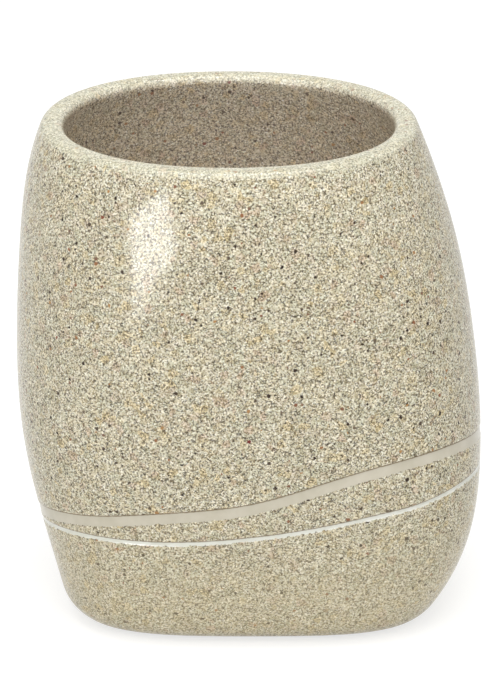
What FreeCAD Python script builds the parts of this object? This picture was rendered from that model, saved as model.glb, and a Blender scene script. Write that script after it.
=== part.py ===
"""Bathroom tumbler: a leaning oval barrel cast in sand resin, with two inlaid stripes and a foam foot pad.

Millimetres, +Z up, +X to the right as seen from the front, and the front faces -Y. The origin is the middle of
the surface that the tumbler stands on. The left flank bulges high and the right flank bulges low, so the barrel
leans, and its plan goes from a soft-cornered oval at the foot to a plain oval at the mouth.
"""
import FreeCAD, Part
import math
import os

# Overall sizes
tumbler_height = 100.0
belly_width = 91.3
belly_depth = 76.8

# Flanks as seen from the front: heights of the control points as shares of the body's height, and their reach
# to the left and to the right as shares of half the belly width
flank_height_shares = (0.0, 0.11, 0.31, 0.53, 0.75, 0.92, 1.0)
left_reach_shares = (-0.796, -0.854, -0.996, -1.018, -1.001, -0.969, -0.896)
right_reach_shares = (0.786, 0.984, 1.028, 0.989, 0.917, 0.794, 0.723)

# Squareness of the plan at the foot, half way up and at the mouth: 2 is an ellipse, more is boxier
foot_squareness = 3.9
middle_squareness = 2.7
mouth_squareness = 2.15

# Casting
wall_thickness = 4.9
floor_thickness = 7.0
cavity_floor_radius = 7.0
foot_radius = 7.0
rim_outer_radius = 2.0
rim_inner_radius = 1.5

# Wide stripe: its course in the front view, as shares of half the belly width and of the body's height
band_width = 2.45
band_groove_depth = 1.2
band_recess = 0.2
band_reach_shares = (-1.2, -0.85, -0.45, -0.02, 0.28, 0.52, 0.80, 1.2)
band_height_shares = (0.342, 0.300, 0.319, 0.331, 0.379, 0.416, 0.444, 0.494)

# Narrow stripe, in the same way
line_width = 1.1
line_groove_depth = 1.0
line_recess = 0.2
line_reach_shares = (-1.2, -0.85, -0.45, -0.02, 0.30, 0.58, 0.85, 1.2)
line_height_shares = (0.324, 0.283, 0.258, 0.273, 0.296, 0.327, 0.350, 0.450)

# Way of both stripes towards the back: depths as shares of half the belly depth, and how far the stripes have
# fallen there, as shares of the body's height
stripe_depth_shares = (-1.2, -0.52, 0.21, 0.78, 1.2)
stripe_fall_shares = (0.0, 0.078, 0.154, 0.161, 0.157)

# Foam pad under the foot
pad_thickness = 1.5
pad_stand_off = 0.5
pad_margin = 10.0
pad_clearance = 0.2

# Construction: counts, and how far cutters run past the faces that they cut
plan_count = 24
spline_degree = 3
overrun = 5.0
flatness = 0.001

body_height = tumbler_height - pad_stand_off
half_width = belly_width / 2
half_depth = belly_depth / 2
depth_share = belly_depth / belly_width


def squareness_at(rise_share):
    """The plan's exponent at a share of the height: a parabola through the foot, the middle and the mouth."""
    to_middle = 4 * rise_share * (1 - rise_share)
    straight = foot_squareness + (mouth_squareness - foot_squareness) * rise_share
    return straight + to_middle * (middle_squareness - (foot_squareness + mouth_squareness) / 2)


def plan_points(left, right, inset, height, squareness):
    """Control points of a closed oval in plan, between two reaches and moved inwards: |x/a|^n + |y/b|^n = 1.

    A cubic curve runs a little inside its control points, so they stand out by what brings it back on the oval.
    """
    middle = (left + right) / 2
    across = (right - left) / 2
    step = 2 * math.pi / plan_count
    stand_out = 6 / (4 + 2 * math.cos(step))
    points = []
    for number in range(plan_count):
        cosine = math.cos(number * step)
        sine = math.sin(number * step)
        reach = stand_out * (abs(cosine) ** squareness + abs(sine) ** squareness) ** (-1 / squareness)
        x = middle + (across - inset) * reach * cosine
        y = (across * depth_share - inset) * reach * sine
        points.append(FreeCAD.Vector(x, y, height))
    return points


def clamped_knots(count):
    """Evenly spaced knots and their multiplicities, for a cubic that ends on its first and last control points."""
    spans = count - spline_degree
    knots = [number / spans for number in range(spans + 1)]
    multiplicities = [spline_degree + 1] + [1] * (spans - 1) + [spline_degree + 1]
    return knots, multiplicities


def closed_knots(count):
    """Evenly spaced knots and their multiplicities, for a cubic that closes on itself."""
    knots = [number / count for number in range(count + 1)]
    return knots, [1] * (count + 1)


def barrel(inset):
    """The barrel moved inwards by inset: one smooth skin over a net of control ovals, closed by level ends."""
    ovals = []
    for rise_share, left_share, right_share in zip(flank_height_shares, left_reach_shares, right_reach_shares):
        left = left_share * half_width
        right = right_share * half_width
        height = pad_stand_off + rise_share * body_height
        ovals.append(plan_points(left, right, inset, height, squareness_at(rise_share)))
    net = [list(upright) for upright in zip(*ovals)]
    round_knots, round_multiplicities = closed_knots(plan_count)
    run_knots, run_multiplicities = clamped_knots(len(ovals))
    surface = Part.BSplineSurface()
    surface.buildFromPolesMultsKnots(net, round_multiplicities, run_multiplicities, round_knots, run_knots,
                                     True, False, spline_degree, spline_degree)
    skin = surface.toShape()
    ends = [Part.Face(Part.Wire([edge])) for edge in skin.Edges if edge.BoundBox.ZLength < flatness]
    shell = Part.Shell([skin] + ends)
    shell.sewShape()
    return Part.Solid(shell)


def flat_face(shape, top):
    """The level face of a shape that lies highest, or lowest."""
    pick = max if top else min
    level = [face for face in shape.Faces if face.BoundBox.ZLength < flatness]
    return pick(level, key=lambda face: face.BoundBox.ZMin)


def cup_cavity():
    """The hollow of the cup: the barrel moved in by the wall, above the floor, with a rounded floor edge."""
    floor_height = pad_stand_off + floor_thickness
    above = Part.makeBox(2 * belly_width, 2 * belly_depth, tumbler_height,
                         FreeCAD.Vector(-belly_width, -belly_depth, floor_height))
    hollow = barrel(wall_thickness).common(above)
    hollow = hollow.makeFillet(cavity_floor_radius, flat_face(hollow, False).Edges)
    way_out = flat_face(hollow, True).extrude(FreeCAD.Vector(0, 0, overrun))
    return hollow.fuse(way_out)


def stripe_slab(reach_shares, height_shares, width):
    """All that lies within a stripe's width of its course, which is carried back on the falling way."""
    net = []
    for reach_share, height_share in zip(reach_shares, height_shares):
        way = []
        for stripe_depth_share, fall_share in zip(stripe_depth_shares, stripe_fall_shares):
            height = pad_stand_off + (height_share - fall_share) * body_height - width / 2
            way.append(FreeCAD.Vector(reach_share * half_width, stripe_depth_share * half_depth, height))
        net.append(way)
    course_knots, course_multiplicities = clamped_knots(len(reach_shares))
    way_knots, way_multiplicities = clamped_knots(len(stripe_depth_shares))
    surface = Part.BSplineSurface()
    surface.buildFromPolesMultsKnots(net, course_multiplicities, way_multiplicities, course_knots, way_knots,
                                     False, False, spline_degree, spline_degree)
    return surface.toShape().extrude(FreeCAD.Vector(0, 0, width))


def stripe(slab, skin, groove_depth, recess):
    """The groove that a stripe lies in, cut from the skin inwards, and the inlay that fills it up to a recess."""
    floor = barrel(groove_depth)
    groove = slab.common(skin).cut(floor)
    inlay = slab.common(barrel(recess)).cut(floor)
    return groove, inlay


def foot_outline(inset):
    """The foot's outline in plan moved inwards, as a face on the surface that the tumbler stands on."""
    left = left_reach_shares[0] * half_width
    right = right_reach_shares[0] * half_width
    knots, multiplicities = closed_knots(plan_count)
    points = plan_points(left, right, inset, 0, foot_squareness)
    outline = Part.BSplineCurve()
    outline.buildFromPolesMultsKnots(points, multiplicities, knots, True, spline_degree)
    return Part.Face(Part.Wire([outline.toShape()]))


def foot_pad():
    """The foam pad, die-cut to the foot's outline."""
    return foot_outline(pad_margin).extrude(FreeCAD.Vector(0, 0, pad_thickness))


def pad_recess():
    """The recess under the foot that the pad is glued into."""
    return foot_outline(pad_margin - pad_clearance).extrude(FreeCAD.Vector(0, 0, pad_thickness))


def single_solid(shape):
    """The one solid of a shape, with leftover seams between like faces removed."""
    solids = shape.removeSplitter().Solids
    if len(solids) != 1:
        raise ValueError("expected one solid, found %d" % len(solids))
    return solids[0]


def build():
    """All pieces by name."""
    skin = barrel(0)
    band_slab = stripe_slab(band_reach_shares, band_height_shares, band_width)
    line_slab = stripe_slab(line_reach_shares, line_height_shares, line_width)
    band_groove, band = stripe(band_slab, skin, band_groove_depth, band_recess)
    line_groove, line = stripe(line_slab, skin, line_groove_depth, line_recess)

    casting = skin.makeFillet(foot_radius, flat_face(skin, False).Edges)
    casting = casting.makeFillet(rim_outer_radius, flat_face(casting, True).Edges)
    casting = casting.cut(cup_cavity())
    inner_rim = flat_face(casting, True).Wires[1].Edges
    casting = casting.makeFillet(rim_inner_radius, inner_rim)
    casting = casting.cut(band_groove).cut(line_groove).cut(pad_recess())
    return {
        "tumbler_body": casting,
        "wide_inlay_band": band,
        "narrow_inlay_line": line,
        "non_slip_foot_pad": foot_pad(),
    }


os.makedirs("parts", exist_ok=True)
for name, shape in build().items():
    solid = single_solid(shape)
    solid.exportStep("parts/%s.step" % name)
    box = solid.optimalBoundingBox()
    print("%s: %.1f x %.1f x %.1f mm, %.2f cm3" % (name, box.XLength, box.YLength, box.ZLength, solid.Volume / 1000))
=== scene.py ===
# %% [markdown]
# # Bathroom tumbler in cast sand resin
# The tumbler is one thick casting of sand-filled polyester resin that leans to the left. A wide cream
# stripe and a narrow white one are poured into grooves round it, a clear lacquer covers everything, and a
# foam pad is glued under the foot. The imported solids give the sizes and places. This file makes finer
# surfaces over the same shapes, gives each its material, and sets up the light and the camera.

import bpy
import numpy as np
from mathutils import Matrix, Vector


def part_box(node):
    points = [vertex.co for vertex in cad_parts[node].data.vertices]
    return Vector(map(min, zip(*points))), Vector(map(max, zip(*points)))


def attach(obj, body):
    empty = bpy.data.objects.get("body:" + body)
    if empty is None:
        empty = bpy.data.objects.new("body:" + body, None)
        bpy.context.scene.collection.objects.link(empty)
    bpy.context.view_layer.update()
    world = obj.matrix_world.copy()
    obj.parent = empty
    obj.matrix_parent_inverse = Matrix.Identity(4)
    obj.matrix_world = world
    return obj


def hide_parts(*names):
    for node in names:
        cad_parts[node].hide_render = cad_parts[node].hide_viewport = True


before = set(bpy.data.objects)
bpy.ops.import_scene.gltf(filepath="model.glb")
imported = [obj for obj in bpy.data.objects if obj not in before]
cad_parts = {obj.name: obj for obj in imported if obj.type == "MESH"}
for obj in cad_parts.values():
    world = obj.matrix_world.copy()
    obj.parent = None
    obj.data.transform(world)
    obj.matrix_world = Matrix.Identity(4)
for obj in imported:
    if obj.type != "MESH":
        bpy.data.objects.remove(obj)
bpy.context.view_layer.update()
mm = 0.001
body_low, body_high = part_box("tumbler_body")
foot_level = body_low.z
rim_level = body_high.z
print("CAD nodes:", sorted(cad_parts), "foot %.1f mm, rim %.1f mm" % (foot_level / mm, rim_level / mm))

# %% [markdown]
# ## The barrel as one formula
# The outside, the inside wall and both grooves are all the same leaning barrel, moved in by different
# amounts. It could be sculpted or subdivided from a box, but then those four surfaces would drift apart. A
# cubic spline over seven level ovals gives any point from two numbers, the turn round the barrel and the
# run up it.

# %% Control ovals
belly_width = 91.3 * mm
belly_depth = 76.8 * mm
rise_shares = np.array((0.0, 0.11, 0.31, 0.53, 0.75, 0.92, 1.0))
left_shares = np.array((-0.796, -0.854, -0.996, -1.018, -1.001, -0.969, -0.896))
right_shares = np.array((0.786, 0.984, 1.028, 0.989, 0.917, 0.794, 0.723))
foot_squareness = 3.9
middle_squareness = 2.7
mouth_squareness = 2.15
plan_count = 24

half_width = belly_width / 2
half_depth = belly_depth / 2
depth_share = belly_depth / belly_width
body_height = rim_level - foot_level
oval_levels = foot_level + rise_shares * body_height
oval_middles = half_width * (left_shares + right_shares) / 2
oval_reaches = half_width * (right_shares - left_shares) / 2


def plan_outline():
    """Control points of each oval for a reach of 1: |x|^n + |y|^n = 1, with n on a parabola up the barrel.

    A cubic runs inside its control points, so they stand out by 6 / (4 + 2 cos(step)).
    """
    straight = foot_squareness + (mouth_squareness - foot_squareness) * rise_shares
    bulge = middle_squareness - (foot_squareness + mouth_squareness) / 2
    power = (straight + 4 * rise_shares * (1 - rise_shares) * bulge)[:, None]
    step = 2 * np.pi / plan_count
    angle = step * np.arange(plan_count)
    reach = (np.abs(np.cos(angle)) ** power + np.abs(np.sin(angle)) ** power) ** (-1 / power)
    reach *= 6 / (4 + 2 * np.cos(step))
    return reach * np.cos(angle), reach * np.sin(angle)


plan_x, plan_y = plan_outline()
print("control net: %d ovals of %d points" % plan_x.shape)


# %% Splines
def clamped_weights(share, count):
    """Weights of a cubic's control points at shares of its run. The curve ends on its first and last points.

    Each degree blends two neighbours: (t - k0) / (k1 - k0) of the one and (k3 - t) / (k3 - k2) of the other.
    """
    degree = 3
    almost_one = 1 - 1e-9
    knots = np.concatenate([np.zeros(degree), np.linspace(0, 1, count - degree + 1), np.ones(degree)])
    t = np.clip(share, 0, almost_one)[..., None]
    weights = ((t >= knots[:-1]) & (t < knots[1:])).astype(float)
    for order in range(1, degree + 1):
        rise = knots[order:-1] - knots[:-order - 1]
        fall = knots[order + 1:] - knots[1:-order]
        going_up = (t - knots[:-order - 1]) / np.where(rise > 0, rise, 1)
        going_down = (knots[order + 1:] - t) / np.where(fall > 0, fall, 1)
        weights = going_up * weights[..., :-1] + going_down * weights[..., 1:]
    return weights


def closed_weights(share, count):
    """Weights of a closed cubic's control points, at d steps from each.

    They are 2/3 - d^2 + d^3/2 within one step and (2 - d)^3 / 6 within two.
    """
    steps = share[..., None] * count - np.arange(count)
    away = np.abs((steps + count / 2) % count - count / 2)
    near = 2 / 3 - away ** 2 + away ** 3 / 2
    far = np.clip(2 - away, 0, None) ** 3 / 6
    return np.where(away < 1, near, far)


print("weights half way:", clamped_weights(np.array((0.5,)), len(rise_shares)).round(3).tolist())


# %% The skin
def skin(turn, run, inset=0.0):
    """Points of the barrel moved inwards by inset: a cubic up the run, over closed cubics round the turn."""
    round_weights = closed_weights(turn, plan_count).T
    x = oval_middles[:, None] + (oval_reaches[:, None] - inset) * (plan_x @ round_weights)
    y = (oval_reaches[:, None] * depth_share - inset) * (plan_y @ round_weights)
    z = np.broadcast_to(oval_levels[:, None], x.shape)
    ovals = np.stack([x, y, z], axis=-1)
    return np.einsum("...cj,jcd->...cd", clamped_weights(run, len(oval_levels)), ovals)


def skin_normal(turn, run, inset=0.0):
    """Outward unit normals of the barrel: a small step round it crossed with a small step up it."""
    step = 1e-4
    round_way = skin(turn + step, run, inset) - skin(turn - step, run, inset)
    up_way = skin(turn, np.minimum(run + step, 1), inset) - skin(turn, np.maximum(run - step, 0), inset)
    normal = np.cross(round_way, up_way)
    return normal / np.linalg.norm(normal, axis=-1, keepdims=True)


column_count = 336
scan_count = 401
turns = np.arange(column_count) / column_count
scan_runs = np.linspace(0, 1, scan_count)
scan_grid = np.broadcast_to(scan_runs[:, None], (scan_count, column_count))
widest = np.ptp(skin(turns, scan_grid), axis=(0, 1)) / mm
print("skin: %.1f x %.1f x %.1f mm" % tuple(widest))

# %% [markdown]
# ## Rounded edges
# The casting's foot, rim and inside floor edge are rounded, as if the mould had been worked with a round
# tool. A bevel modifier would round a mesh edge, but its width would vary with the mesh. Here a ball rolls
# along a level plane and the skin: the edge is the arc between the two places where it touches.


# %% Rolling ball
def crossing(gap):
    """For each column, the run where a gap that grows up the scan passes zero, by straight interpolation."""
    after = np.clip((gap < 0).sum(axis=0), 1, scan_count - 1)
    column = np.arange(column_count)
    low = gap[after - 1, column]
    high = gap[after, column]
    return scan_runs[after - 1] + low / (low - high) * (scan_runs[after] - scan_runs[after - 1])


def rounding(radius, plane, above_plane, inset, outside_skin, steps):
    """The run where the ball touches the skin, and its arc from the plane to the skin.

    The ball's centre is a radius from the skin along the normal, and a radius above or below the level plane.
    The arc turns from straight down or up to the normal by sin((1 - s) a) / sin(a) and sin(s a) / sin(a).
    """
    plane_side = 1 if above_plane else -1
    skin_side = 1 if outside_skin else -1
    centres = skin(turns, scan_grid, inset) + skin_side * radius * skin_normal(turns, scan_grid, inset)
    run = crossing(centres[..., 2] - plane - plane_side * radius)
    normal = skin_normal(turns, run, inset)
    centre = skin(turns, run, inset) + skin_side * radius * normal
    start = np.array((0.0, 0.0, -plane_side))
    end = -skin_side * normal
    angle = np.arccos(np.clip(end @ start, -1, 1))[:, None]
    share = np.linspace(0, 1, steps)[:, None, None]
    way = (np.sin((1 - share) * angle) * start + np.sin(share * angle) * end) / np.sin(angle)
    return run, centre + radius * way


wall_thickness = 4.9 * mm
floor_thickness = 7.0 * mm
foot_radius = 7.0 * mm
rim_radius = 2.0 * mm
lip_radius = 1.5 * mm
floor_radius = 7.0 * mm
floor_level = foot_level + floor_thickness
foot_run, foot_arc = rounding(foot_radius, foot_level, above_plane=True, inset=0.0,
                              outside_skin=False, steps=14)
rim_run, rim_arc = rounding(rim_radius, rim_level, above_plane=False, inset=0.0,
                            outside_skin=False, steps=9)
lip_run, lip_arc = rounding(lip_radius, rim_level, above_plane=False, inset=wall_thickness,
                            outside_skin=True, steps=8)
floor_run, floor_arc = rounding(floor_radius, floor_level, above_plane=True, inset=wall_thickness,
                                outside_skin=False, steps=10)
print("foot rounding ends at %.1f mm, rim rounding starts at %.1f mm"
      % (foot_arc[-1, :, 2].max() / mm, rim_arc[-1, :, 2].min() / mm))

# %% [markdown]
# ## The stripes' courses
# Both stripes are waves in the front view that sink as they go round to the back. A groove could be cut
# with a boolean, but that leaves ragged faces along a shallow cut. Each course is a cubic in the front view
# instead, less a fall that grows with the depth, and every column of the barrel finds the run where it
# crosses the edges.

# %% Courses and edges
band_width = 2.45 * mm
band_reach_shares = np.array((-1.2, -0.85, -0.45, -0.02, 0.28, 0.52, 0.80, 1.2))
band_rise_shares = np.array((0.342, 0.300, 0.319, 0.331, 0.379, 0.416, 0.444, 0.494))
line_width = 1.1 * mm
line_reach_shares = np.array((-1.2, -0.85, -0.45, -0.02, 0.30, 0.58, 0.85, 1.2))
line_rise_shares = np.array((0.324, 0.283, 0.258, 0.273, 0.296, 0.327, 0.350, 0.450))
stripe_depth_shares = np.array((-1.2, -0.52, 0.21, 0.78, 1.2))
stripe_fall_shares = np.array((0.0, 0.078, 0.154, 0.161, 0.157))


def course(across_shares, half_size, level_shares, place):
    """Height of a cubic over control points, looked up at places along it by straight steps."""
    step_count = 800
    weights = clamped_weights(np.linspace(0, 1, step_count), len(across_shares))
    return np.interp(place, weights @ (across_shares * half_size), weights @ (level_shares * body_height))


def stripe_edges(reach_shares, stripe_rise_shares, width):
    """The runs of a stripe's lower and upper edge in each column.

    There the height passes -w/2 and w/2 from rise(x) - fall(y).
    """
    points = skin(turns, scan_grid)
    rise = course(reach_shares, half_width, stripe_rise_shares, points[..., 0])
    fall = course(stripe_depth_shares, half_depth, stripe_fall_shares, points[..., 1])
    above_course = points[..., 2] - foot_level - rise + fall
    return crossing(above_course + width / 2), crossing(above_course - width / 2)


band_edges = stripe_edges(band_reach_shares, band_rise_shares, band_width)
line_edges = stripe_edges(line_reach_shares, line_rise_shares, line_width)
gap_between = (skin(turns, band_edges[0]) - skin(turns, line_edges[1]))[:, 2]
print("sand between the stripes: %.2f to %.2f mm" % (gap_between.min() / mm, gap_between.max() / mm))


# %% Sections across a stripe
def stripe_run(edges, width, height):
    """The run at a height across a stripe, from -w/2 at its lower edge to w/2 at its upper edge."""
    return edges[0] + (height / width + 0.5) * (edges[1] - edges[0])


def carry(edges, width, section):
    """A section of (height, depth) points carried round the barrel: skin(run) - depth * normal."""
    height, depth = np.asarray(section).T
    run = stripe_run(edges, width, height[:, None])
    return skin(turns, run) - depth[:, None, None] * skin_normal(turns, run)


quarter_turn = np.linspace(0, np.pi / 2, 5)


def groove_section(width, depth, lower_radius, upper_radius):
    """A groove with rounded lips: each lip is a quarter circle, then a wall goes down to a flat bottom."""
    lower_heights = -width / 2 - lower_radius * (1 - np.sin(quarter_turn))
    upper_heights = width / 2 + upper_radius * (1 - np.sin(quarter_turn))
    lip_depth = 1 - np.cos(quarter_turn)
    heights = np.concatenate([lower_heights, [-width / 2, 0, width / 2], upper_heights[::-1]])
    depths = np.concatenate([lower_radius * lip_depth, [depth] * 3, upper_radius * lip_depth[::-1]])
    return np.stack([heights, depths], axis=1)


band_groove_depth = 1.2 * mm
line_groove_depth = 1.0 * mm
lower_lip = 0.02 * mm
upper_lip = 0.08 * mm
band_groove_shape = groove_section(band_width, band_groove_depth, lower_lip, upper_lip)
line_groove_shape = groove_section(line_width, line_groove_depth, lower_lip, upper_lip)
band_groove = carry(band_edges, band_width, band_groove_shape)
line_groove = carry(line_edges, line_width, line_groove_shape)
print("groove rows:", len(band_groove), len(line_groove))

# %% [markdown]
# ## The casting
# The tumbler's body is a single skin that starts under the foot, goes up the outside over both grooves,
# rolls over the rim and comes down inside to the cup's floor. A solid with a thickness modifier would give
# an even wall, but no grooves, thick floor or round lips. So rows of points are laid along that whole way
# and joined as one grid.


# %% Kinds of rows
def level_rows(start, end, count):
    """Rows between two rows of points, evenly, without the two ends."""
    share = np.linspace(0, 1, count + 2)[1:-1, None, None]
    return start + share * (end - start)


def flank_rows(start, end, inset, count):
    """Rows of the skin between two runs in each column, without the two ends."""
    share = np.linspace(0, 1, count + 2)[1:-1, None]
    return skin(turns, start + share * (end - start), inset)


def foot_outline(inset, level):
    """The foot's lowest oval moved inwards, on a level plane."""
    outline = skin(turns, np.zeros(column_count), inset)
    outline[:, 2] = level
    return outline


foot_width = np.ptp(foot_outline(0.0, foot_level)[:, 0])
print("the foot's lowest oval is %.1f mm wide" % (foot_width / mm))

# %% Rows of the casting
pad_margin = 10.0 * mm
pad_clearance = 0.2 * mm
pad_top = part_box("non_slip_foot_pad")[1].z
recess_top = foot_outline(pad_margin - pad_clearance, pad_top)
recess_bottom = foot_outline(pad_margin - pad_clearance, foot_level)
recess_middle = recess_top.mean(axis=0)
cup_middle = floor_arc[0].mean(axis=0)

line_foot = stripe_run(line_edges, line_width, -line_width / 2 - lower_lip)
line_head = stripe_run(line_edges, line_width, line_width / 2 + upper_lip)
band_foot = stripe_run(band_edges, band_width, -band_width / 2 - lower_lip)
band_head = stripe_run(band_edges, band_width, band_width / 2 + upper_lip)
outside_rows = np.concatenate([
    level_rows(recess_middle, recess_top, count=3),
    recess_top[None],
    recess_bottom[None],
    level_rows(recess_bottom, foot_arc[0], count=2),
    foot_arc,
    flank_rows(foot_run, line_foot, 0.0, count=26),
    line_groove,
    flank_rows(line_head, band_foot, 0.0, count=7),
    band_groove,
    flank_rows(band_head, rim_run, 0.0, count=64),
    rim_arc[::-1],
    level_rows(rim_arc[0], lip_arc[0], count=2),
])
inside_rows = np.concatenate([
    flank_rows(lip_run, floor_run, wall_thickness, count=54),
    floor_arc[::-1],
    level_rows(floor_arc[0], cup_middle, count=8),
])
casting_rows = np.concatenate([outside_rows, lip_arc, inside_rows])
print("casting: %d rows of %d points" % casting_rows.shape[:2])


# %% A grid of points as a mesh
def grid_object(name, rows, poles=None):
    """A smooth mesh over rows that close on themselves, as an object at the origin.

    With two poles, the first and last row close on a point each. Without them, the last row joins the first,
    as on a ring.
    """
    row_count, count = rows.shape[:2]
    index = np.arange(row_count * count).reshape(row_count, count)
    if poles is None:
        index = np.concatenate([index, index[:1]])
    ahead = np.roll(index, -1, axis=1)
    quads = np.stack([index[:-1], ahead[:-1], ahead[1:], index[1:]], axis=-1).reshape(-1, 4)
    faces = quads.tolist()
    vertices = rows.reshape(-1, 3)
    if poles is not None:
        first = np.full(count, row_count * count)
        faces += np.stack([first, ahead[0], index[0]], axis=-1).tolist()
        faces += np.stack([index[-1], ahead[-1], first + 1], axis=-1).tolist()
        vertices = np.concatenate([vertices, poles])
    mesh = bpy.data.meshes.new(name)
    mesh.from_pydata(vertices.tolist(), [], faces)
    mesh.shade_smooth()
    mesh.update()
    made = bpy.data.objects.new(name, mesh)
    bpy.context.scene.collection.objects.link(made)
    print("%s: %d faces" % (name, len(faces)))
    return made


casting = grid_object("sand_casting", casting_rows, [recess_middle, cup_middle])
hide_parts("tumbler_body")
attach(casting, "root")

# %% [markdown]
# ### Whether a point is inside the cup
# Inside the cup, where the mould's core stood, the sand is painted paler and brighter than outside. That is
# painted light: it stands in for light that reaches into the cup. A second material would leave a hard line
# at the rim. Every point carries a number instead, 0 outside and 1 inside, that grows over the lip.

# %% Inside of the cup
lip_shares = np.linspace(0, 1, len(lip_arc))
# The number says how far the painted light inside the cup reaches: 0 outside, 1 inside
inside_shares = np.concatenate([np.zeros(len(outside_rows)), lip_shares, np.ones(len(inside_rows))])
inside_cup = np.concatenate([np.repeat(inside_shares, column_count), [0, 1]])
casting.data.attributes.new("inside_cup", "FLOAT", "POINT").data.foreach_set("value", inside_cup)
print("points on the core side:", int((inside_cup == 1).sum()), "of", len(inside_cup))

# %% [markdown]
# ## The poured stripes
# Liquid resin was run into the grooves. It set flush with the skin along the lower edge, and shrank away
# from the upper one, which leaves a fine crease there, dark with its own shade and with painted shade. The
# narrow line set hollow, because resin climbs the walls of a narrow groove. A curve with a bevel could draw
# a stripe, but it wouldn't end on the groove's walls. So each is a closed section carried round the barrel
# like the groove, and every point keeps its height above the lower edge, so that the material can follow the
# edges.


# %% Inlay rings
def inlay_section(width, depth, recesses, hollow, shrink_gap):
    """A closed section: bottom corner, top from the lower to the upper edge, other bottom corner.

    The top goes straight from the recess at one edge to that at the other, and deeper by hollow * (1 - v^2)
    between them. Its points lie at v = sin(angle), so they crowd at the corners and keep them crisp.
    """
    lower_gap = 0.005 * mm
    top_count = 15
    v = np.sin(np.linspace(-np.pi / 2, np.pi / 2, top_count))
    low = -width / 2 + lower_gap
    high = width / 2 - shrink_gap
    heights = (low + high) / 2 + v * (high - low) / 2
    top = np.interp(v, (-1, 1), recesses) + hollow * (1 - v ** 2)
    section = np.stack([heights, top], axis=1)
    return np.concatenate([[[low, depth]], section, [[high, depth]]])


def inlay(name, node, edges, width, section):
    """The ring of one stripe, with the height above its lower edge in millimetres as an attribute."""
    made = grid_object(name, carry(edges, width, section))
    heights = np.repeat(section[:, 0] / mm + width / mm / 2, column_count)
    made.data.attributes.new("above_lower_edge", "FLOAT", "POINT").data.foreach_set("value", heights)
    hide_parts(node)
    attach(made, "root")
    return made


band_section = inlay_section(band_width, depth=1.15 * mm, recesses=(0.01 * mm, 0.16 * mm), hollow=0.03 * mm,
                             shrink_gap=0.08 * mm)
line_section = inlay_section(line_width, depth=0.95 * mm, recesses=(0.02 * mm, 0.12 * mm), hollow=0.16 * mm,
                             shrink_gap=0.05 * mm)
band = inlay("cream_band", "wide_inlay_band", band_edges, band_width, band_section)
line = inlay("white_line", "narrow_inlay_line", line_edges, line_width, line_section)

# %% [markdown]
# ## The foam pad
# A sheet of closed-cell foam is die-cut to the foot's outline and glued into the recess. The die presses
# the edge in a little, so the sheet is slightly rounded there. A cloth simulation would only wrinkle it: it
# is stiff and stays flat where the tumbler rests on it. So its rows go from the middle below, round the
# edge, to the middle above.

# %% Pad rows
pad_edge_radius = 0.35 * mm
pad_flat_margin = pad_margin + 2 * pad_edge_radius
edge_insets = pad_edge_radius * (1 - np.sin(quarter_turn))
edge_rises = pad_edge_radius * (1 - np.cos(quarter_turn))
pad_rows = np.concatenate([
    level_rows(foot_outline(pad_margin, 0.0).mean(axis=0), foot_outline(pad_flat_margin, 0.0), count=4),
    [foot_outline(pad_margin + inset, rise) for inset, rise in zip(edge_insets, edge_rises)],
    [foot_outline(pad_margin + inset, pad_top - drop) for inset, drop in zip(edge_rises, edge_insets)],
    level_rows(foot_outline(pad_flat_margin, pad_top), recess_middle, count=4),
])
pad_middle = pad_rows[0].mean(axis=0)
pad = grid_object("foam_pad", pad_rows, [pad_middle, recess_middle])
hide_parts("non_slip_foot_pad")
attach(pad, "root")

# %% [markdown]
# ## Materials
# Each material is a small tree of nodes. One function adds a node, sets its own settings, feeds its inputs
# with values or with other nodes' outputs, and fills its colour stops. Colours are written as on a screen
# and turned to linear light once.


# %% Colours and nodes
def linear(hex_colour):
    """An sRGB hex colour as linear light: c / 12.92 up to 0.04045, and ((c + 0.055) / 1.055)^2.4 above."""
    screen = np.array([int(hex_colour[at:at + 2], 16) for at in (1, 3, 5)]) / 255
    light = np.where(screen <= 0.04045, screen / 12.92, ((screen + 0.055) / 1.055) ** 2.4)
    return (*light.tolist(), 1.0)


def add_node(tree, kind, feeds=None, stops=None, **settings):
    """One shader node: settings are properties, feeds are values or outputs by input, stops are colours."""
    made = tree.nodes.new(kind)
    for name, value in settings.items():
        setattr(made, name, value)
    for socket, value in (feeds or {}).items():
        if isinstance(value, bpy.types.NodeSocket):
            tree.links.new(value, made.inputs[socket])
        else:
            made.inputs[socket].default_value = value
    if stops:
        elements = made.color_ramp.elements
        while len(elements) < len(stops):
            elements.new(1.0)
        for element, (position, value) in zip(elements, stops):
            element.position = position
            element.color = linear(value)
    return made


def new_material(name):
    """An empty material, and its node tree."""
    made = bpy.data.materials.new(name)
    made.use_nodes = True
    made.node_tree.nodes.clear()
    return made, made.node_tree


# Socket numbers of a Mix node set to colours. Its names repeat for numbers and vectors, so they won't do.
MIX_FACTOR, MIX_FIRST, MIX_SECOND, MIX_RESULT = 0, 6, 7, 2
print("black and white in linear light:", linear("#000000"), linear("#FFFFFF"))

# %% [markdown]
# ### Cast sand-filled polyester under clear lacquer
# Quartz sand is stirred into the resin. The eye sees pale sand whose shade changes every quarter of a
# millimetre, faintly tinted in patches, dark brown binder in short gaps between grains of about half a
# millimetre, and a few black, ochre and rust specks. A picture of sand would repeat and stretch. Cell
# patterns through the solid give every grain its own random shade, wherever the surface cuts through it.

# %% Grains
shade_size = 0.25 * mm
tint_size = 1.5 * mm


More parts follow.
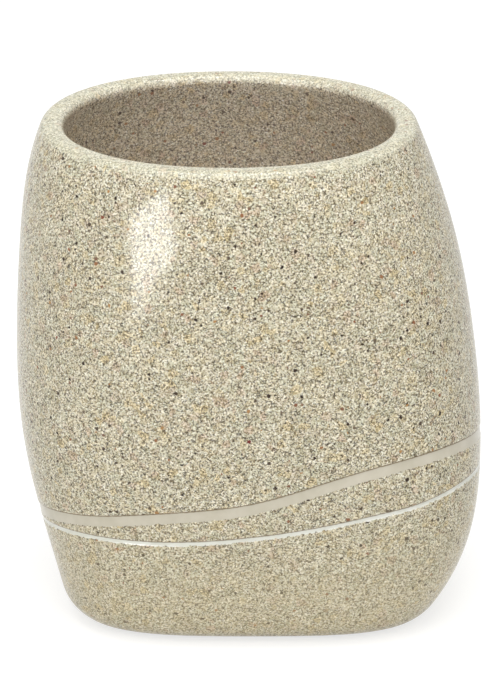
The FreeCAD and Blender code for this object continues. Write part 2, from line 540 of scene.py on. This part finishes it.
def grain_shades(tree, place):
    """A random shade per fine cell, multiplied by a faint random tint per wider cell."""
    grains = add_node(tree, "ShaderNodeTexVoronoi", {"Vector": place, "Scale": 1 / shade_size})
    shade_number = add_node(tree, "ShaderNodeSeparateColor", {"Color": grains.outputs["Color"]})
    shade = add_node(tree, "ShaderNodeValToRGB", {"Fac": shade_number.outputs["Red"]}, stops=[
        (0.0, "#7A6C4E"), (0.12, "#AEA182"), (0.40, "#CCC3A8"), (0.75, "#DFD8C2"), (1.0, "#FAF6E8")])
    patches = add_node(tree, "ShaderNodeTexVoronoi", {"Vector": place, "Scale": 1 / tint_size})
    patch_number = add_node(tree, "ShaderNodeSeparateColor", {"Color": patches.outputs["Color"]})
    tint = add_node(tree, "ShaderNodeValToRGB", {"Fac": patch_number.outputs["Red"]}, stops=[
        (0.0, "#FAF0D8"), (0.08, "#FEFBF2"), (0.40, "#FFFFFF"), (0.75, "#F3F6F2"), (0.94, "#F6F2EF"),
        (1.0, "#F2E4DC")])
    tinted = add_node(tree, "ShaderNodeMix", {
        MIX_FACTOR: 1.0, MIX_FIRST: shade.outputs["Color"], MIX_SECOND: tint.outputs["Color"]},
        data_type="RGBA", blend_type="MULTIPLY")
    return tinted.outputs[MIX_RESULT]


print("a shade every %.2f mm, a tint every %.1f mm" % (shade_size / mm, tint_size / mm))

# %% Gaps between grains
gap_spacing = 0.55 * mm
gap_reach_share = 0.21
hollow_size = 0.47 * mm
shallow_noise = 0.455
deep_noise = 0.585


def binder_gaps(tree, place, colour):
    """Dark binder along the borders of cells, as far as soft noise says that the gap is deep there."""
    cells = add_node(tree, "ShaderNodeTexVoronoi", {"Vector": place, "Scale": 1 / gap_spacing},
                     feature="DISTANCE_TO_EDGE")
    nearness = add_node(tree, "ShaderNodeMapRange", {
        "Value": cells.outputs["Distance"], "From Max": gap_reach_share, "To Min": 1.0, "To Max": 0.0})
    hollows = add_node(tree, "ShaderNodeTexNoise", {"Vector": place, "Scale": 1 / hollow_size, "Detail": 1.0})
    depth = add_node(tree, "ShaderNodeMapRange", {
        "Value": hollows.outputs["Fac"], "From Min": shallow_noise, "From Max": deep_noise})
    share = add_node(tree, "ShaderNodeMath", {0: nearness.outputs["Result"], 1: depth.outputs["Result"]},
                     operation="MULTIPLY")
    bound = add_node(tree, "ShaderNodeMix", {
        MIX_FACTOR: share.outputs[0], MIX_FIRST: colour, MIX_SECOND: linear("#2C1C06")}, data_type="RGBA")
    return bound.outputs[MIX_RESULT]


print("gaps every %.2f mm" % (gap_spacing / mm))

# %% Specks
speck_spacing = 1.3 * mm
speck_roughness = 0.4 * mm
plain_cell_share = 0.60
# The rest are shares of the spacing
largest_speck_share = 0.34
unevenness_share = 0.45
edge_share = 0.19


def add_specks(tree, place, colour):
    """Specks round cells' middles, where distance + unevenness * noise < size + edge, a colour to a cell.

    The plain cells have a size of nothing. Among the others it grows evenly up to that of the largest speck.
    """
    uneven = add_node(tree, "ShaderNodeTexNoise", {
        "Vector": place, "Scale": 1 / speck_roughness, "Detail": 1.0})
    cells = add_node(tree, "ShaderNodeTexVoronoi", {"Vector": place, "Scale": 1 / speck_spacing})
    numbers = add_node(tree, "ShaderNodeSeparateColor", {"Color": cells.outputs["Color"]})
    size = add_node(tree, "ShaderNodeMapRange", {
        "Value": numbers.outputs["Red"], "From Min": plain_cell_share, "To Min": 0.0,
        "To Max": largest_speck_share})
    reach = add_node(tree, "ShaderNodeMath", {
        0: uneven.outputs["Fac"], 1: unevenness_share, 2: cells.outputs["Distance"]},
        operation="MULTIPLY_ADD")
    edge = add_node(tree, "ShaderNodeMath", {0: size.outputs["Result"], 1: edge_share}, operation="ADD")
    speck = add_node(tree, "ShaderNodeMath", {0: reach.outputs[0], 1: edge.outputs[0]}, operation="LESS_THAN")
    speck_colour = add_node(tree, "ShaderNodeValToRGB", {"Fac": numbers.outputs["Blue"]}, stops=[
        (0.0, "#24150A"), (0.45, "#3C2A1A"), (0.64, "#6C5E4C"), (0.76, "#855438"), (0.88, "#AE8450"),
        (1.0, "#70221C")])
    speckled = add_node(tree, "ShaderNodeMix", {
        MIX_FACTOR: speck.outputs[0], MIX_FIRST: colour, MIX_SECOND: speck_colour.outputs["Color"]},
        data_type="RGBA")
    return speckled.outputs[MIX_RESULT]


def sand_colour(tree, place):
    """Grains, then binder in the gaps between them, then specks over both."""
    grains = grain_shades(tree, place)
    bound = binder_gaps(tree, place, grains)
    return add_specks(tree, place, bound)


print("at most one speck in each cell of %.1f mm" % (speck_spacing / mm))

# %% [markdown]
# ### Zones of the casting
# One sand colour all over would look too even. In the photograph the sand is paler inside the cup, and its
# grain is fainter near the foot and on the rim. Inside the cup the paler sand is painted light, a brightening
# that stands in for light reaching into the cup. Near the foot the sand is mixed with an even, yellower tone,
# and on the rim with an even, paler and greener one. Why is a guess: cleaner sand at the mould's core, fines
# that settled, and sanding. The zones follow the height and the number that each point carries, so that they
# have soft edges.

# %% Zones
# Painted light inside the cup: a gain and a share of pale tone that brighten the sand there
painted_light_gain = (1.19, 1.17, 1.22, 1.0)
painted_light_share = 0.135
# Near the foot the sand is mixed with an even, yellower tone
foot_zone = (12 * mm, 34 * mm)
foot_share_below = 0.28
# On the rim the sand is mixed with an even, paler and greener tone
rim_zone = (rim_level - 1.6 * mm, rim_level - 0.6 * mm)
rim_share_above = 0.35


def zoned_sand(tree, place):
    """Sand painted brighter and paler inside the cup as painted light, and more even at foot and rim."""
    inside_cup_here = add_node(tree, "ShaderNodeAttribute", attribute_name="inside_cup").outputs["Fac"]
    # Painted light: the sand inside the cup is brightened, then mixed with a pale tone
    painted_brighter = add_node(tree, "ShaderNodeMix", {
        MIX_FACTOR: inside_cup_here, MIX_FIRST: sand_colour(tree, place), MIX_SECOND: painted_light_gain},
        data_type="RGBA", blend_type="MULTIPLY", clamp_result=True)
    painted_pale_share = add_node(tree, "ShaderNodeMath", {0: inside_cup_here, 1: painted_light_share},
                          operation="MULTIPLY")
    painted_paler = add_node(tree, "ShaderNodeMix", {
        MIX_FACTOR: painted_pale_share.outputs[0], MIX_FIRST: painted_brighter.outputs[MIX_RESULT],
        MIX_SECOND: linear("#FFEEE4")}, data_type="RGBA")
    height = add_node(tree, "ShaderNodeSeparateXYZ", {"Vector": place}).outputs["Z"]
    foot_share = add_node(tree, "ShaderNodeMapRange", {
        "Value": height, "From Min": foot_zone[0], "From Max": foot_zone[1], "To Min": foot_share_below,
        "To Max": 0.0})
    evened_at_foot = add_node(tree, "ShaderNodeMix", {
        MIX_FACTOR: foot_share.outputs["Result"], MIX_FIRST: painted_paler.outputs[MIX_RESULT],
        MIX_SECOND: linear("#C6B893")}, data_type="RGBA")
    rim_share = add_node(tree, "ShaderNodeMapRange", {
        "Value": height, "From Min": rim_zone[0], "From Max": rim_zone[1], "To Max": rim_share_above})
    blended = add_node(tree, "ShaderNodeMix", {
        MIX_FACTOR: rim_share.outputs["Result"], MIX_FIRST: evened_at_foot.outputs[MIX_RESULT],
        MIX_SECOND: linear("#CDCEB9")}, data_type="RGBA")
    return blended.outputs[MIX_RESULT]


print("the foot's zone fades up to %.0f mm" % (foot_zone[1] / mm))

# %% Sand resin
orange_peel_size = 2.5 * mm
orange_peel_depth = 0.03 * mm
# Clear lacquer: a soft gloss that mirrors lamps and floor without hiding the sand
lacquer_coat = {"Coat Weight": 0.65, "Coat Roughness": 0.13, "Coat IOR": 1.5}


def sand_resin():
    """Sand sealed in resin, with hardly any gloss of its own, under a coat with a slight orange peel."""
    material, tree = new_material("cast sand-filled polyester under clear lacquer")
    place = add_node(tree, "ShaderNodeTexCoord").outputs["Object"]
    orange_peel = add_node(tree, "ShaderNodeTexNoise", {
        "Vector": place, "Scale": 1 / orange_peel_size, "Detail": 1.0})
    lacquer = add_node(tree, "ShaderNodeBump", {
        "Height": orange_peel.outputs["Fac"], "Distance": orange_peel_depth, "Strength": 0.6})
    finish = add_node(tree, "ShaderNodeBsdfPrincipled", {
        "Base Color": zoned_sand(tree, place), "Roughness": 0.6, "IOR": 1.5, "Specular IOR Level": 0.1,
        "Coat Normal": lacquer.outputs["Normal"], **lacquer_coat})
    add_node(tree, "ShaderNodeOutputMaterial", {"Surface": finish.outputs["BSDF"]})
    return material


casting.data.materials.append(sand_resin())
print(casting.data.materials[0].name)

# %% [markdown]
# ### Poured resin
# The stripes are pigmented polyester poured as a liquid, so they are smooth and even, with faint clouds of
# pigment. Sand grains lie over the lower edge, which makes it uneven, and a brown line of painted shade lies
# in the crease along the upper edge. Both could be painted on a map, but the height above the lower edge,
# which each ring carries, marks them without one.

# %% Edges of the stripes
edge_roughness = 0.7 * mm
# Strength of the brown painted shade in the crease along each stripe's upper edge
crease_shade_share = 0.85
# In millimetres, as the heights that the rings carry: up from the lower edge, and down from the upper one
sand_unevenness = 0.9
sand_zone = (-0.42, -0.30)
crease_shade_unevenness = 0.25
crease_shade_zone = (0.22, 0.04)


def edge_marks(tree, place, colour, width):
    """Sand over the lower edge and brown painted shade in the crease along the upper one, each fading across
    its zone.

    The sand goes by height - unevenness * noise, and the crease by height + unevenness * noise.
    """
    height = add_node(tree, "ShaderNodeAttribute", attribute_name="above_lower_edge").outputs["Fac"]
    uneven = add_node(tree, "ShaderNodeTexNoise", {
        "Vector": place, "Scale": 1 / edge_roughness, "Detail": 2.0})
    sand_height = add_node(tree, "ShaderNodeMath", {0: uneven.outputs["Fac"], 1: -sand_unevenness, 2: height},
                           operation="MULTIPLY_ADD")
    sand_share = add_node(tree, "ShaderNodeMapRange", {
        "Value": sand_height.outputs[0], "From Min": sand_zone[0], "From Max": sand_zone[1], "To Min": 1.0,
        "To Max": 0.0})
    blended = add_node(tree, "ShaderNodeMix", {
        MIX_FACTOR: sand_share.outputs["Result"], MIX_FIRST: colour, MIX_SECOND: sand_colour(tree, place)},
        data_type="RGBA")
    # Painted shade: a brown line in the crease along the upper edge
    crease_shade_height = add_node(tree, "ShaderNodeMath", {
        0: uneven.outputs["Fac"], 1: crease_shade_unevenness, 2: height}, operation="MULTIPLY_ADD")
    crease = add_node(tree, "ShaderNodeMapRange", {
        "Value": crease_shade_height.outputs[0], "From Min": width / mm - crease_shade_zone[0],
        "From Max": width / mm - crease_shade_zone[1], "To Max": crease_shade_share})
    crease_shaded = add_node(tree, "ShaderNodeMix", {
        MIX_FACTOR: crease.outputs["Result"], MIX_FIRST: blended.outputs[MIX_RESULT],
        MIX_SECOND: linear("#7A6444")}, data_type="RGBA")
    return crease_shaded.outputs[MIX_RESULT]


print("stripes of %.2f and %.2f mm have uneven edges" % (band_width / mm, line_width / mm))

# %% Poured resin
cloud_size = 4.0 * mm


def poured_resin(name, pale, deep, width):
    """Soft clouds between two shades, with marks along both edges, under the casting's lacquer."""
    material, tree = new_material(name)
    place = add_node(tree, "ShaderNodeTexCoord").outputs["Object"]
    clouds = add_node(tree, "ShaderNodeTexNoise", {"Vector": place, "Scale": 1 / cloud_size, "Detail": 3.0})
    tint = add_node(tree, "ShaderNodeValToRGB", {"Fac": clouds.outputs["Fac"]}, stops=[
        (0.35, deep), (0.65, pale)])
    finish = add_node(tree, "ShaderNodeBsdfPrincipled", {
        "Base Color": edge_marks(tree, place, tint.outputs["Color"], width), "Roughness": 0.5, "IOR": 1.5,
        "Specular IOR Level": 0.1, **lacquer_coat})
    add_node(tree, "ShaderNodeOutputMaterial", {"Surface": finish.outputs["BSDF"]})
    return material


band.data.materials.append(poured_resin("poured cream polyester", "#CDC6B5", "#C2BBA8", band_width))
line.data.materials.append(poured_resin("poured white polyester", "#E8E8DF", "#DCDCD0", line_width))
print(band.data.materials[0].name, "and", line.data.materials[0].name)

# %% [markdown]
# ### Closed-cell foam
# Foam sheet is cut through its bubbles, so the face is matt and pitted with cells a third of a millimetre
# wide. Pits that small would cost too many faces as a mesh, so a bump draws them, and painted shade darkens
# their bottoms.

# %% Foam
foam_cell_size = 0.35 * mm
pit_depth = 0.15 * mm


def closed_cell_foam():
    """Pits from the distance to each cell's middle, and painted shade that darkens towards their bottoms."""
    material, tree = new_material("die-cut closed-cell foam")
    place = add_node(tree, "ShaderNodeTexCoord").outputs["Object"]
    cells = add_node(tree, "ShaderNodeTexVoronoi", {"Vector": place, "Scale": 1 / foam_cell_size})
    # Painted shade: the foam is darker towards the middle of each cell, at the bottom of each pit
    shade = add_node(tree, "ShaderNodeValToRGB", {"Fac": cells.outputs["Distance"]}, stops=[
        (0.1, "#B9B6AE"), (0.7, "#D8D5CE")])
    pits = add_node(tree, "ShaderNodeBump", {
        "Height": cells.outputs["Distance"], "Distance": pit_depth, "Strength": 0.8})
    finish = add_node(tree, "ShaderNodeBsdfPrincipled", {
        "Base Color": shade.outputs["Color"], "Roughness": 0.9, "IOR": 1.45,
        "Normal": pits.outputs["Normal"]})
    add_node(tree, "ShaderNodeOutputMaterial", {"Surface": finish.outputs["BSDF"]})
    return material


pad.data.materials.append(closed_cell_foam())
print(pad.data.materials[0].name)

# %% [markdown]
# ## Floor and surroundings
# The tumbler stands on a white sweep that runs out of the picture, so a floor alone fills the view. More
# lamps would whiten the floor, but bleach the tumbler too. So rays from the camera and reflections see it
# almost white by its own glow, and a share of real shading keeps the tumbler's soft shadow on it. The
# photograph's right edge is less milky than its left one, as if it mirrored a darker floor, so the mirrored
# glow falls off on that side.


# %% Glow of the sweep
def shown_rays(tree):
    """1 for rays that show the background, from the camera, off a gloss or through glass, 0 for others."""
    path = add_node(tree, "ShaderNodeLightPath").outputs
    seen = add_node(tree, "ShaderNodeMath", {0: path["Is Camera Ray"], 1: path["Is Glossy Ray"]},
                    operation="MAXIMUM")
    shown = add_node(tree, "ShaderNodeMath", {0: seen.outputs[0], 1: path["Is Transmission Ray"]},
                     operation="MAXIMUM")
    return shown.outputs[0]


glow_level = 0.72
mirrored_loss = -0.22
loss_zone = (40 * mm, 100 * mm)


def glow_strength(tree):
    """The sweep's glow, less a loss in reflections that grows to the right."""
    place = add_node(tree, "ShaderNodeTexCoord").outputs["Object"]
    across = add_node(tree, "ShaderNodeSeparateXYZ", {"Vector": place}).outputs["X"]
    loss = add_node(tree, "ShaderNodeMapRange", {
        "Value": across, "From Min": loss_zone[0], "From Max": loss_zone[1], "To Max": mirrored_loss})
    mirrored = add_node(tree, "ShaderNodeLightPath").outputs["Is Glossy Ray"]
    loss_here = add_node(tree, "ShaderNodeMath", {0: loss.outputs["Result"], 1: mirrored},
                         operation="MULTIPLY")
    strength = add_node(tree, "ShaderNodeMath", {0: loss_here.outputs[0], 1: glow_level}, operation="ADD")
    return strength.outputs[0]


print("glow %.2f, and %.2f in reflections far right" % (glow_level, glow_level + mirrored_loss))


# %% White sweep
def white_sweep():
    """A matt white floor: part shading and part glow for rays that show it, only shading for all others."""
    material, tree = new_material("matt white paper sweep")
    paper = add_node(tree, "ShaderNodeBsdfDiffuse", {"Color": linear("#E8E8E6")})
    shaded = add_node(tree, "ShaderNodeBsdfDiffuse", {"Color": linear("#A8A8A6")})
    glow = add_node(tree, "ShaderNodeEmission", {"Color": linear("#FFFFFF"), "Strength": glow_strength(tree)})
    bright = add_node(tree, "ShaderNodeAddShader", {0: shaded.outputs[0], 1: glow.outputs[0]})
    surface = add_node(tree, "ShaderNodeMixShader", {
        0: shown_rays(tree), 1: paper.outputs[0], 2: bright.outputs[0]})
    add_node(tree, "ShaderNodeOutputMaterial", {"Surface": surface.outputs[0]})
    return material


sweep_reach = 6.0
# A hair under the pad, so that the two faces don't flicker
sweep_gap = 0.02 * mm
sweep_corners = np.array(((-1, -1, 0), (1, -1, 0), (1, 1, 0), (-1, 1, 0))) * sweep_reach
sweep_mesh = bpy.data.meshes.new("white_sweep")
sweep_mesh.from_pydata(sweep_corners.tolist(), [], [(0, 1, 2, 3)])
sweep = bpy.data.objects.new("white_sweep", sweep_mesh)
bpy.context.scene.collection.objects.link(sweep)
sweep.location.z = -sweep_gap
sweep_mesh.materials.append(white_sweep())
print("sweep: %.0f m wide" % (2 * sweep_reach))

# %% Surroundings
surround_level = 0.40
world = bpy.data.worlds.new("white studio")
world.use_nodes = True
world_tree = world.node_tree
world_tree.nodes.clear()
world_strength = add_node(world_tree, "ShaderNodeMapRange", {
    "Value": shown_rays(world_tree), "To Min": surround_level, "To Max": 1.0})
world_light = add_node(world_tree, "ShaderNodeBackground", {
    "Color": linear("#FFFFFF"), "Strength": world_strength.outputs["Result"]})
add_node(world_tree, "ShaderNodeOutputWorld", {"Surface": world_light.outputs[0]})
bpy.context.scene.world = world
print("surroundings at", surround_level)

# %% [markdown]
# ## Light
# A broad softbox high in front lights the outside and reaches into the cup. One overhead gives the bright
# line along the rim. A small one in front on the left, almost at table height, shows only in the lacquer:
# it gives the soft patch of gloss below the rim on that side. Point lamps would be simpler, but they leave
# hard shadows and pinpricks in the gloss.


# %% Softboxes
def softbox(name, place, target, size, brightness, roll=0.0):
    """A rectangular lamp turned to its target: a power of brightness * pi * area gives that brightness."""
    lamp = bpy.data.lights.new(name, "AREA")
    lamp.shape = "RECTANGLE"
    lamp.size, lamp.size_y = size
    lamp.energy = brightness * np.pi * size[0] * size[1]
    made = bpy.data.objects.new(name, lamp)
    made.location = place
    made.rotation_euler = (Vector(target) - Vector(place)).to_track_quat("-Z", "Y").to_euler()
    made.rotation_euler.rotate_axis("Z", roll)
    bpy.context.scene.collection.objects.link(made)
    return made


softbox("high front softbox", place=(-0.2, -1.1, 1.15), target=(0, 0, 0.06), size=(2.2, 0.9), brightness=2.1)
softbox("overhead softbox", place=(0.02, -0.2, 1.3), target=(0, 0, 0.05), size=(1.1, 0.5), brightness=6.3)
patch_light = softbox("low front softbox", place=(-0.36, -0.58, 0.115), target=(0, 0, 0.085),
                      size=(0.24, 0.19), brightness=12.4, roll=np.radians(28))
patch_light.visible_diffuse = False
print("softboxes:", [lamp.name for lamp in bpy.data.lights])

# %% [markdown]
# ## Camera
# The photograph was taken from the front and a little above with a long lens, so the outline hardly
# converges. Its place was found by laying the solids' outline over the photograph's.

# %% Camera
camera_elevation = np.radians(21.0)
camera_distance = 1.5
pixels_per_metre = 4984.6
image_height = 700
aim = Vector((0.19 * mm, 0, 51.2 * mm))
camera_data = bpy.data.cameras.new("camera")
camera_data.sensor_width = 36.0
camera_data.lens = pixels_per_metre * camera_distance * camera_data.sensor_width / image_height
camera = bpy.data.objects.new("camera", camera_data)
back_way = Vector((0, -np.cos(camera_elevation), np.sin(camera_elevation)))
camera.location = aim + camera_distance * back_way
camera.rotation_euler = (np.pi / 2 - camera_elevation, 0, 0)
bpy.context.scene.collection.objects.link(camera)
bpy.context.scene.camera = camera
bpy.context.scene.view_settings.view_transform = "Standard"
print("lens %.0f mm" % camera_data.lens)
